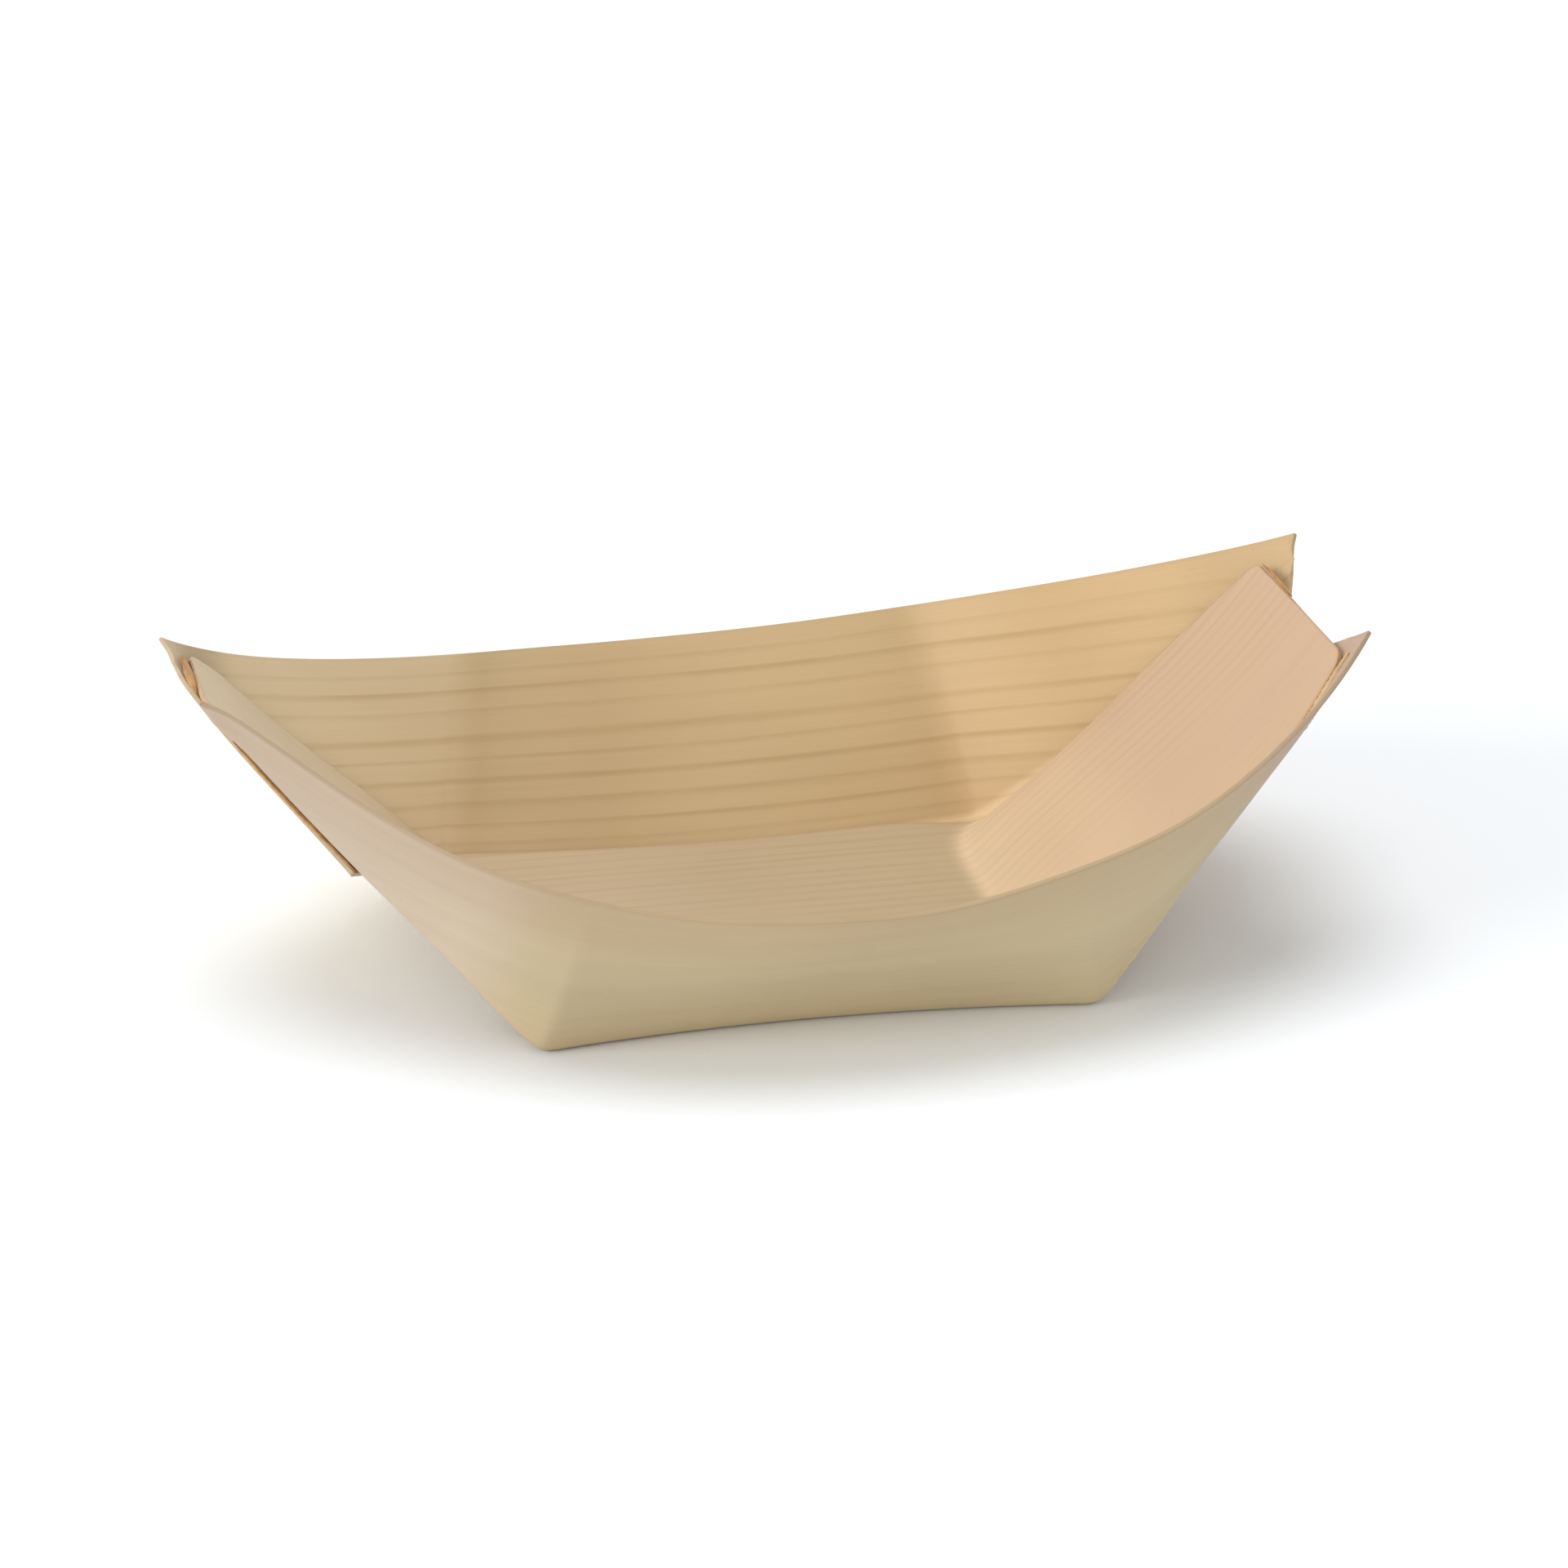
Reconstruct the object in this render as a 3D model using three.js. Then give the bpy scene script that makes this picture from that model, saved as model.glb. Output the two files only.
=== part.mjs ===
// A snack boat folded from three sheets of pine veneer and glued: one long base strip, whose
// ends are bent up, and two side panels, whose lower edges are folded under the floor and whose
// ends are wrapped behind the raised ends of the strip. The sheets' corners stand up as ears.
// Millimetres, +Z up. The boat stands on Z = 0, with its length along X and its front at -Y.

import * as THREE from 'three';

// Overall sizes
const LENGTH = 140;
const BEAM = 82.6;
const RIM_HEIGHT = 21.3;
const EAR_HEIGHT = 40.1;

// Sheets and the glue between them
const VENEER = 0.6;
const GLUE_GAP = 0.3;
const GLUE_CLEARANCE = 0.08;
const LEAST_FILM = 0.1;

// Floor: its long edges are drawn in at mid length, and it lies a little right of the middle
const FLOOR_LENGTH = 67.3;
const FLOOR_WIDTH = 52.8;
const FLOOR_WAIST = 2.8;
const FLOOR_SHIFT = 1.6;

// Folds: half the length of the soft bend at each end of the floor, and of a panel's lower fold
const END_BEND = 3;
const PANEL_BEND = 1;

// Raised ends: width between the two ear tips, height of the ears above the strip along the
// slope, and how far the slope sags below a straight line
const LEFT_EAR_SPREAD = 19;
const LEFT_EAR_RISE = 2.5;
const LEFT_SLOPE_SAG = 1;
const RIGHT_EAR_SPREAD = 29.7;
const RIGHT_EAR_RISE = 4.7;
const RIGHT_SLOPE_SAG = 0.8;

// Rim: shares of the second and fourth power in how it is drawn in and how it rises to an ear
const LEFT_DRAW_SECOND = 0.87;
const LEFT_DRAW_FOURTH = 0.63;
const LEFT_RISE_SECOND = 0.45;
const LEFT_RISE_FOURTH = 0.9;
const RIGHT_DRAW_SECOND = 0.54;
const RIGHT_DRAW_FOURTH = 0.49;
const RIGHT_RISE_SECOND = 0.89;
const RIGHT_RISE_FOURTH = 0;

// Where the upright fold above a floor corner meets the rim, as a share of the way to the ear
const RIM_FOLD = 0.42;

// Strip: rounded corners and the clearance to the panels beside it
const STRIP_CORNER = 2;
const STRIP_CLEARANCE = 0.1;

// Panels: width of the sheet below the wall, which is the flange under the floor and the lowest
// part of a flap, length of the ear's cut end on the wall's side, and the least width that a sheet
// keeps past its fold
const FLANGE_WIDTH = 10;
const EAR_CUT = 2;
const LEAST_LAP = 1.5;

// Glue films: margins to the edges of what they join, and the width of an end film
const FILM_MARGIN = 1;
const FILM_START = 9;
const END_FILM_WIDTH = 5;

// Steps along a sheet and across it
const FLOOR_STEPS = 6;
const CORNER_STEPS = 4;
const FLAP_STEPS = 8;
const EAR_STEPS = 10;
const ROUND_STEPS = 4;
const STRIP_STEPS = 6;
const WALL_STEPS = 4;
const BEND_STEPS = 3;
const LAP_STEPS = 3;
const FILM_STEPS = 8;

// Step used to measure a slope on a curve
const NUDGE = 0.01;

// Surfaces
const WOOD_ROUGHNESS = 0.7;
const GLUE_ROUGHNESS = 0.4;
const STRIP_COLOUR = 0xd9b696;
const FRONT_COLOUR = 0xc6ae8c;
const BACK_COLOUR = 0xc8a87a;
const GLUE_COLOUR = 0xa8753a;

const FLOOR_HALF = FLOOR_LENGTH / 2;
const PITCH = VENEER + GLUE_GAP;
const WRAP_LEVEL = VENEER / 2;
const RIM_HALF = (BEAM - VENEER) / 2;
const FRONT = -1;
const BACK = 1;

// Height of the flat side panel, from the fold at the floor to the rim at mid length
const PANEL_HEIGHT = Math.hypot(RIM_HALF - FLOOR_WIDTH / 2 + FLOOR_WAIST, RIM_HEIGHT - WRAP_LEVEL);

// One raised end: the slope of the wrapped sheets, the taper of their fold, and the corner of
// the side panel that is folded in behind the strip
function makeEnd(direction, sizes) {
  const reach = LENGTH / 2 - direction * FLOOR_SHIFT;
  const run = reach - FLOOR_HALF;
  const rise = EAR_HEIGHT - WRAP_LEVEL;
  const slope = Math.hypot(run, rise);
  const earHalf = sizes.earSpread / 2;
  const taper = Math.atan2(FLOOR_WIDTH / 2 - earHalf, slope);
  const crease = Math.hypot(FLOOR_WIDTH / 2 - earHalf, slope);
  const flapAngle = Math.asin(PANEL_HEIGHT / crease);
  const flapLength = Math.sqrt(crease ** 2 - PANEL_HEIGHT ** 2);
  const turned = taper + flapAngle;
  const cornerRun = flapLength * Math.cos(turned) - FLANGE_WIDTH * Math.sin(turned);
  const cornerIn = flapLength * Math.sin(turned) + FLANGE_WIDTH * Math.cos(turned);
  const cornerHalf = FLOOR_WIDTH / 2 - cornerIn;
  const cut = new THREE.Vector2(slope - cornerRun, earHalf - cornerHalf).normalize();
  return {
    ...sizes,
    direction,
    reach,
    slope,
    earHalf,
    cornerRun,
    cornerHalf,
    cut,
    angle: Math.atan2(rise, run),
    foldEnd: slope - EAR_CUT * cut.x,
    foldEndHalf: earHalf - EAR_CUT * cut.y,
    stripTop: slope - sizes.earRise,
  };
}

const leftEnd = makeEnd(-1, {
  earSpread: LEFT_EAR_SPREAD,
  earRise: LEFT_EAR_RISE,
  sag: LEFT_SLOPE_SAG,
  draw: { second: LEFT_DRAW_SECOND, fourth: LEFT_DRAW_FOURTH },
  lift: { second: LEFT_RISE_SECOND, fourth: LEFT_RISE_FOURTH },
});
const rightEnd = makeEnd(1, {
  earSpread: RIGHT_EAR_SPREAD,
  earRise: RIGHT_EAR_RISE,
  sag: RIGHT_SLOPE_SAG,
  draw: { second: RIGHT_DRAW_SECOND, fourth: RIGHT_DRAW_FOURTH },
  lift: { second: RIGHT_RISE_SECOND, fourth: RIGHT_RISE_FOURTH },
});

const mix = THREE.MathUtils.lerp;
const smooth = THREE.MathUtils.smoothstep;

function endAt(place) {
  return place < 0 ? leftEnd : rightEnd;
}

// Distance past the floor's end, negative on the floor, and the place at such a distance
function runAt(place) {
  return Math.abs(place) - FLOOR_HALF;
}

function placeAt(end, run) {
  return end.direction * (FLOOR_HALF + run);
}

// Long section of the wrapped sheets at one end: flat floor, soft bend, and a slope that sags as a
// parabola, deepest at its middle
function slopePoint(end, run) {
  const share = run / end.slope;
  const sag = 4 * end.sag * share * (1 - share);
  const x = FLOOR_HALF + run * Math.cos(end.angle) + sag * Math.sin(end.angle);
  const z = WRAP_LEVEL + run * Math.sin(end.angle) - sag * Math.cos(end.angle);
  return new THREE.Vector2(x, z);
}

function sectionPoint(end, run) {
  if (run <= -END_BEND) {
    return new THREE.Vector2(FLOOR_HALF + run, WRAP_LEVEL);
  }
  if (run >= END_BEND) {
    return slopePoint(end, run);
  }
  const bend = new THREE.QuadraticBezierCurve(
    new THREE.Vector2(FLOOR_HALF - END_BEND, WRAP_LEVEL),
    new THREE.Vector2(FLOOR_HALF, WRAP_LEVEL),
    slopePoint(end, END_BEND),
  );
  return bend.getPoint((run + END_BEND) / (2 * END_BEND));
}

// Point of the boat at a place along its length, across it, and lifted off the wrapped sheets
function basePoint(place, across, lift) {
  const end = endAt(place);
  const run = runAt(place);
  const here = sectionPoint(end, run);
  const ahead = sectionPoint(end, run + NUDGE);
  const behind = sectionPoint(end, run - NUDGE);
  const along = ahead.sub(behind).normalize();
  const x = here.x - lift * along.y;
  const z = here.y + lift * along.x;
  return new THREE.Vector3(FLOOR_SHIFT + end.direction * x, across, z);
}

// Half the width between the two panels' lower folds
function foldHalf(place) {
  const end = endAt(place);
  const run = runAt(place);
  if (run <= 0) {
    return FLOOR_WIDTH / 2 - FLOOR_WAIST * (1 - (place / FLOOR_HALF) ** 2);
  }
  return mix(FLOOR_WIDTH / 2, end.foldEndHalf, run / end.foldEnd);
}

// Inner edge of a panel past its fold: the flange under the floor, then the folded-in flap
function lapHalf(place) {
  const end = endAt(place);
  const run = runAt(place);
  const fold = foldHalf(place);
  if (run <= 0) {
    return fold - Math.max(LEAST_LAP, Math.min(FLANGE_WIDTH, -run));
  }
  if (run <= end.cornerRun) {
    return Math.min(mix(FLOOR_WIDTH / 2, end.cornerHalf, run / end.cornerRun), fold - LEAST_LAP);
  }
  return mix(end.cornerHalf, end.earHalf, (run - end.cornerRun) / (end.slope - end.cornerRun));
}

// Where a panel's row ends past the fold: beyond the flap's corner the rows end on its cut edge
function lapEnd(place) {
  const end = endAt(place);
  const run = runAt(place);
  if (run <= end.cornerRun) {
    return { place, half: lapHalf(place) };
  }
  const share = (run - end.cornerRun) / (end.foldEnd - end.cornerRun);
  const lastRun = end.foldEnd - LEAST_LAP * end.cut.x;
  const lastHalf = end.foldEndHalf - LEAST_LAP * end.cut.y;
  return {
    place: placeAt(end, mix(end.cornerRun, lastRun, share)),
    half: mix(end.cornerHalf, lastHalf, share),
  };
}

// Runs between which the front and back flaps lie over each other
function lapRange(end) {
  const first = end.cornerRun * (FLOOR_WIDTH / 2) / (FLOOR_WIDTH / 2 - end.cornerHalf);
  const share = -end.cornerHalf / (end.earHalf - end.cornerHalf);
  return { first, last: mix(end.cornerRun, end.slope, share) };
}

// How far a flap lies off the wrapped sheets' level: the back flap passes behind the front one, so
// that the front flap is raised at the left end and the back flap is lowered at the right end
function lapLift(place, side) {
  const end = endAt(place);
  const run = runAt(place);
  const raised = side === FRONT && end.direction < 0;
  const lowered = side === BACK && end.direction > 0;
  if (run <= 0 || end.cornerHalf > 0) {
    return 0;
  }
  const { first, last } = lapRange(end);
  return (raised - lowered) * PITCH * smooth(run, 0, first) * (1 - smooth(run, last, end.slope));
}

function stripLift(place) {
  return PITCH + lapLift(place, FRONT);
}

function ease(share, powers) {
  const eighth = 1 - powers.second - powers.fourth;
  return powers.second * share ** 2 + powers.fourth * share ** 4 + eighth * share ** 8;
}

// Point on the rim above a place along the fold
function rimPoint(place, side) {
  const end = endAt(place);
  const run = runAt(place);
  const past = Math.max(0, run) / end.foldEnd;
  const share = run <= 0 ? RIM_FOLD * Math.abs(place) / FLOOR_HALF : mix(RIM_FOLD, 1, past);
  const half = mix(RIM_HALF, end.earHalf, ease(share, end.draw));
  const height = mix(RIM_HEIGHT, EAR_HEIGHT, ease(share, end.lift));
  return new THREE.Vector3(FLOOR_SHIFT + end.direction * end.reach * share, side * half, height);
}

// Closed body between two sheets of points with the same rows and columns
function closedBody(lower, upper) {
  const rows = lower.length;
  const columns = lower[0].length;
  const points = [...lower.flat(), ...upper.flat()];
  const at = (row, column, sheet) => sheet * rows * columns + row * columns + column;
  const index = [];
  const quad = (a, b, c, d) => index.push(a, b, c, a, c, d);
  for (let row = 0; row < rows - 1; row += 1) {
    for (let column = 0; column < columns - 1; column += 1) {
      quad(at(row, column, 1), at(row + 1, column, 1), at(row + 1, column + 1, 1), at(row, column + 1, 1));
      quad(at(row, column, 0), at(row, column + 1, 0), at(row + 1, column + 1, 0), at(row + 1, column, 0));
    }
    const last = columns - 1;
    quad(at(row, 0, 0), at(row + 1, 0, 0), at(row + 1, 0, 1), at(row, 0, 1));
    quad(at(row, last, 1), at(row + 1, last, 1), at(row + 1, last, 0), at(row, last, 0));
  }
  for (let column = 0; column < columns - 1; column += 1) {
    const last = rows - 1;
    quad(at(0, column, 1), at(0, column + 1, 1), at(0, column + 1, 0), at(0, column, 0));
    quad(at(last, column, 0), at(last, column + 1, 0), at(last, column + 1, 1), at(last, column, 1));
  }
  const geometry = new THREE.BufferGeometry().setFromPoints(points);
  geometry.setIndex(index);
  geometry.computeVertexNormals();
  return geometry;
}

// Rows of points moved along the sheet's own normal
function offsetSheet(sheet, distance) {
  const clampRow = (row) => THREE.MathUtils.clamp(row, 0, sheet.length - 1);
  const clampColumn = (column) => THREE.MathUtils.clamp(column, 0, sheet[0].length - 1);
  return sheet.map((points, row) => points.map((point, column) => {
    const along = sheet[clampRow(row + 1)][column].clone().sub(sheet[clampRow(row - 1)][column]);
    const across = points[clampColumn(column + 1)].clone().sub(points[clampColumn(column - 1)]);
    const normal = along.cross(across).normalize();
    return point.clone().addScaledVector(normal, distance);
  }));
}

// Even steps from one value to the next in a list of stops
function stepsThrough(stops, counts) {
  const values = [stops[0]];
  counts.forEach((count, leg) => {
    for (let step = 1; step <= count; step += 1) {
      values.push(mix(stops[leg], stops[leg + 1], step / count));
    }
  });
  return values;
}

function baseStrip() {
  const halfPlaces = (end) => stepsThrough(
    [0, FLOOR_HALF - END_BEND, FLOOR_HALF + END_BEND, FLOOR_HALF + end.cornerRun,
      FLOOR_HALF + end.stripTop - STRIP_CORNER, FLOOR_HALF + end.stripTop],
    [FLOOR_STEPS, CORNER_STEPS, FLAP_STEPS, EAR_STEPS, ROUND_STEPS],
  );
  const left = halfPlaces(leftEnd).slice(1).map((value) => -value).reverse();
  const places = [...left, ...halfPlaces(rightEnd)];
  const widthAt = (value) => {
    const toTop = endAt(value).stripTop - runAt(value);
    const into = STRIP_CORNER - THREE.MathUtils.clamp(toTop, 0, STRIP_CORNER);
    const rounded = STRIP_CORNER - Math.sqrt(STRIP_CORNER ** 2 - into ** 2);
    return foldHalf(value) - VENEER / 2 - STRIP_CLEARANCE - rounded;
  };
  const sheet = (offset) => places.map((value) => {
    const width = widthAt(value);
    const lift = stripLift(value) + offset;
    return stepsThrough([-width, width], [STRIP_STEPS]).map((across) => basePoint(value, across, lift));
  });
  return closedBody(sheet(-VENEER / 2), sheet(VENEER / 2));
}

// One cross row of a side panel: down the wall, round the fold, and in under the boat
function panelRow(place, side) {
  const lift = lapLift(place, side);
  const rim = rimPoint(place, side);
  const fold = basePoint(place, side * foldHalf(place), lift);
  const last = lapEnd(place);
  const edge = basePoint(last.place, side * last.half, lapLift(last.place, side));
  const reach = Math.min(PANEL_BEND, fold.distanceTo(rim) / 2, fold.distanceTo(edge) / 2);
  const wallEnd = fold.clone().addScaledVector(rim.clone().sub(fold).normalize(), reach);
  const lapStart = fold.clone().addScaledVector(edge.clone().sub(fold).normalize(), reach);
  const wall = new THREE.LineCurve3(rim, wallEnd).getPoints(WALL_STEPS);
  const bend = new THREE.QuadraticBezierCurve3(wallEnd, fold, lapStart).getPoints(BEND_STEPS);
  const lap = new THREE.LineCurve3(lapStart, edge).getPoints(LAP_STEPS);
  return [...wall, ...bend.slice(1), ...lap.slice(1)];
}

function sidePanel(side) {
  const places = (end) => stepsThrough(
    [0, FLOOR_HALF - FLANGE_WIDTH, FLOOR_HALF, FLOOR_HALF + end.cornerRun, FLOOR_HALF + end.foldEnd],
    [FLOOR_STEPS, CORNER_STEPS, FLAP_STEPS, EAR_STEPS],
  );
  const left = places(leftEnd).slice(1).map((value) => -value).reverse();
  const rows = [...left, ...places(rightEnd)].map((place) => panelRow(place, side));
  return closedBody(offsetSheet(rows, -VENEER / 2), offsetSheet(rows, VENEER / 2));
}

// Film of set glue over a patch of the base, between two lifts that may change along it
function glueFilm(places, innerAt, outerAt, lowAt, highAt) {
  const sheet = (liftAt) => places.map((place) => {
    const columns = stepsThrough([innerAt(place), outerAt(place)], [LAP_STEPS]);
    return columns.map((across) => basePoint(place, across, liftAt(place)));
  });
  return closedBody(sheet(lowAt), sheet(highAt));
}

function floorGlue(side) {
  const limit = FLOOR_HALF - FLANGE_WIDTH;
  const places = stepsThrough([-limit, limit], [FILM_STEPS]);
  const inner = (place) => foldHalf(place) - FLANGE_WIDTH + FILM_MARGIN;
  const outer = (place) => foldHalf(place) - FILM_MARGIN - PANEL_BEND;
  const [first, second] = side === FRONT ? [outer, inner] : [inner, outer];
  const low = () => VENEER / 2;
  const high = () => PITCH - VENEER / 2;
  return glueFilm(places, (place) => side * first(place), (place) => side * second(place), low, high);
}

// Film over part of one end, from run to run
function endFilm(end, stops, innerAt, outerAt, lowAt, highAt) {
  const runs = stepsThrough(stops, stops.slice(1).map(() => FILM_STEPS));
  const ordered = end.direction < 0 ? runs.reverse() : runs;
  const places = ordered.map((run) => placeAt(end, run));
  return glueFilm(places, innerAt, outerAt, lowAt, highAt);
}

function filmLimit(place) {
  return foldHalf(place) - FILM_MARGIN - PANEL_BEND;
}

// The front flap lies on the strip all along its fold, the back one only above where they cross
function endGlue(end, side) {
  const { last } = lapRange(end);
  const top = end.stripTop - STRIP_CORNER;
  const stops = side === FRONT ? [FILM_START, end.cornerRun, top] : [last + FILM_MARGIN, top];
  const inner = (place) => Math.max(lapHalf(place) + FILM_MARGIN, filmLimit(place) - END_FILM_WIDTH);
  const [first, second] = side === FRONT ? [filmLimit, inner] : [inner, filmLimit];
  const room = side === FRONT ? GLUE_CLEARANCE : GLUE_GAP;
  const high = (place) => stripLift(place) - VENEER / 2 - room;
  const low = (place) => Math.min(lapLift(place, side) + VENEER / 2 + room, high(place) - LEAST_FILM);
  return endFilm(end, stops, (place) => side * first(place), (place) => side * second(place), low, high);
}

function lapGlue(end) {
  const { first, last } = lapRange(end);
  const stops = [first + 2 * FILM_MARGIN, end.cornerRun, last - 2 * FILM_MARGIN];
  const half = (place) => Math.min(-lapHalf(place), filmLimit(place)) - FILM_MARGIN / 2;
  const low = (place) => lapLift(place, BACK) + VENEER / 2 + GLUE_CLEARANCE;
  const high = (place) => lapLift(place, FRONT) - VENEER / 2 - GLUE_CLEARANCE;
  return endFilm(end, stops, (place) => -half(place), half, low, high);
}

function veneer(colour) {
  return new THREE.MeshStandardMaterial({ color: colour, roughness: WOOD_ROUGHNESS, metalness: 0 });
}

function driedGlue() {
  return new THREE.MeshStandardMaterial({ color: GLUE_COLOUR, roughness: GLUE_ROUGHNESS, metalness: 0 });
}

const boat = new THREE.Group();

function addPiece(name, geometry, material) {
  const mesh = new THREE.Mesh(geometry, material);
  mesh.name = name;
  boat.add(mesh);
}

addPiece('base_strip', baseStrip(), veneer(STRIP_COLOUR));
addPiece('front_side_panel', sidePanel(FRONT), veneer(FRONT_COLOUR));
addPiece('back_side_panel', sidePanel(BACK), veneer(BACK_COLOUR));
addPiece('front_floor_glue', floorGlue(FRONT), driedGlue());
addPiece('back_floor_glue', floorGlue(BACK), driedGlue());
[leftEnd, rightEnd].forEach((end) => {
  const name = end.direction < 0 ? 'left' : 'right';
  addPiece(`${name}_front_end_glue`, endGlue(end, FRONT), driedGlue());
  addPiece(`${name}_back_end_glue`, endGlue(end, BACK), driedGlue());
  addPiece(`${name}_lap_glue`, lapGlue(end), driedGlue());
});

export default boat;
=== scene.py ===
"""Looks of a snack boat folded from three sheets of pine veneer, in metres, in the part's own frame.

The base strip is the floor and both raised ends. The front and the back panel are folded under the
floor, and their corners are folded in behind the raised ends and glued. Each sheet is rebuilt here
as a fine mesh with rounded cut edges, and carries the place of every point on the flat sheet, so
that the grain follows the wood round every fold.
"""

import math
from types import SimpleNamespace

import bpy
import numpy as np
from mathutils import Matrix, Vector


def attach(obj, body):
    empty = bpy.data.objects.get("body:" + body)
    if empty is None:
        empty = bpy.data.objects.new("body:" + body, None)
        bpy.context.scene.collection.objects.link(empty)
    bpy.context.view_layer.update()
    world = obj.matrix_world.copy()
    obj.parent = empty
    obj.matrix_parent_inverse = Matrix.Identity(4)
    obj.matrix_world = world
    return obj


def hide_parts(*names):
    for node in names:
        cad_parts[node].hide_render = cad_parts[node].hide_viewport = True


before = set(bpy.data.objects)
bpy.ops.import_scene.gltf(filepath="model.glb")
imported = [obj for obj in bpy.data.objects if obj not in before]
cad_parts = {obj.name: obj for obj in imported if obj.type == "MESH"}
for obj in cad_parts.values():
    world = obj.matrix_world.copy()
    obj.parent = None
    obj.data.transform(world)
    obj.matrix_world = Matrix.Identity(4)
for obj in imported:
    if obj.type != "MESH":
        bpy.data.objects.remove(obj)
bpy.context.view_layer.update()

MM = 0.001
TINY = 1e-12
FRONT, BACK = -1, 1

# Overall sizes and sheets
LENGTH = 140 * MM
BEAM = 82.6 * MM
RIM_HEIGHT = 21.3 * MM
EAR_HEIGHT = 40.1 * MM
VENEER = 0.6 * MM
GLUE_GAP = 0.3 * MM
EDGE_ROUND = 0.12 * MM

# Floor and folds
FLOOR_LENGTH = 67.3 * MM
FLOOR_WIDTH = 52.8 * MM
FLOOR_WAIST = 2.8 * MM
FLOOR_SHIFT = 1.6 * MM
END_BEND = 1.9 * MM
PANEL_BEND = 1 * MM
RIM_FOLD = 0.42

# Strip and panels
STRIP_CORNER = 2 * MM
STRIP_CLEARANCE = 0.15 * MM
FLANGE_WIDTH = 10 * MM
EAR_CUT = 2 * MM
LEAST_LAP = 1.5 * MM
CORNER_LAP = 4.4 * MM

FLOOR_HALF = FLOOR_LENGTH / 2
PITCH = VENEER + GLUE_GAP
WRAP_LEVEL = VENEER / 2
RIM_HALF = (BEAM - VENEER) / 2
PANEL_HEIGHT = math.hypot(RIM_HALF - FLOOR_WIDTH / 2 + FLOOR_WAIST, RIM_HEIGHT - WRAP_LEVEL)

# Shares of a raised end's slope, counted from its bend, where the strip starts to be askew and
# twisted, and between which it nears the front wall, is nipped in and is bowed
SKEW_FROM = 0.4
TWIST_FROM = 0.2
ROOM_SPAN = (0.2, 0.6)
NIP_IN, NIP_OUT = (-0.25, 0), (0.1, 0.6)
BOW_IN, BOW_OUT = (-0.3, 0), (0.1, 0.8)
BOW_POWER = 6

# Slight waves of the front right fold and of each rim: middle, width and height
FOLD_WAVES = ((40 * MM, 7 * MM, 0.9 * MM), (18 * MM, 8 * MM, -0.7 * MM))
RIM_WAVES = {FRONT: ((-65 * MM, 6 * MM, 0.6 * MM), (6 * MM, 26 * MM, -0.3 * MM)),
             BACK: ((-50 * MM, 16 * MM, 0.45 * MM), (-8 * MM, 14 * MM, -0.3 * MM),
                    (46 * MM, 15 * MM, -0.4 * MM))}

# Slight bulges of each wall: lengths along and across the sheet, and phases
BELLY_HEIGHT = 0.25 * MM
BELLY_FADE = (2 * MM, 12 * MM)
FRONT_BELLY = (((34 * MM, 90 * MM), 0.4), ((-52 * MM, 60 * MM), 2.1))
BACK_BELLY = (((41 * MM, 70 * MM), 1.3), ((-60 * MM, 55 * MM), 0.2))

# Curl of the front left ear: depth, and the shares of the way to its tip where it sets in
EAR_CURL = 0.9 * MM
CURL_FADE = 3 * MM
CURL_WAY, TIP_WAY = (0.8, 1), (0.95, 1)

# Mesh steps
ROW_STEP = 0.6 * MM
WALL_COLUMNS = 36
BEND_COLUMNS = 22
LAP_COLUMNS = 14
STRIP_COLUMNS = 60
CORNER_ROWS = 14
BEAD_SIDES = 12
TOP_BEAD_ROWS = 40
FOLD_BEAD_ROWS = 60
EDGE_STEPS = (0, 0.15, 0.5, 1)
NUDGE = 0.01 * MM

# Beads of glue: lumps along and round a bead, and the start and power of its pointed ends
LUMP_PITCH, LUMP_TURN, LUMP_DRIFT, LUMP_SWAY = 0.9, 2.1, 0.4, 0.23
TOP_TAPER, FOLD_TAPER = (0.08, 0.7), (0.05, 0.4)
BEAD_UP = (0.3, 0.2, 1.0)

# Colours of the wood, at places in mm along the sheet from its middle, some with painted light and
# shade in them
# The strip is darker on its floor as painted shade, and lighter just past its right bend as painted
# light
STRIP_COLOURS_AND_PAINTED_LIGHT = (
    (-60, "D2BFA0"), (-24, "C7B293"), (2, "BBA686"), (30, "B6A282"), (34.4, "D6BD9B"),
    (46, "CDB191"), (58, "C4A78A"))
FRONT_COLOURS = (
    (-62, "C9B8A1"), (-48, "CCBAA1"), (-36, "C3B18E"), (-10, "CDBA95"), (44, "CCBB97"),
    (78, "BFAA96"))
# The back panel is much lighter on its left flap as painted light, and darker just before its right
# crease than past it as painted shade and painted light
BACK_COLOURS_AND_PAINTED_LIGHT = (
    (-80, "D2BFA0"), (-71, "F3E0BC"), (-36, "EFDBB6"), (-29, "D9C197"), (-12, "CCB187"),
    (29, "CDB288"), (35, "DEC298"), (52, "D1B387"), (62, "D1B387"), (74, "C9AC82"))

# Patterns in the wood: repeats per mm along, across and through the sheet, detail and roughness
SWAY = ((0.011, 0.03, 0), 2, 0.5)
SPREAD = ((0.0008, 0.16, 0), 2, 0.5)
PATCHES = ((0.05, 0.5, 0), 2, 0.5)
FIBRES = ((0.09, 5, 0), 4, 0.6)
STREAKS = ((0.02, 1.1, 0), 3, 0.5)
FLECKS = ((0.35, 7, 0), 1, 0.5)
BLOTCHES = ((0.03, 0.06, 0), 3, 0.5)
PATTERN_SHIFT = (37, 11, 1)

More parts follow.
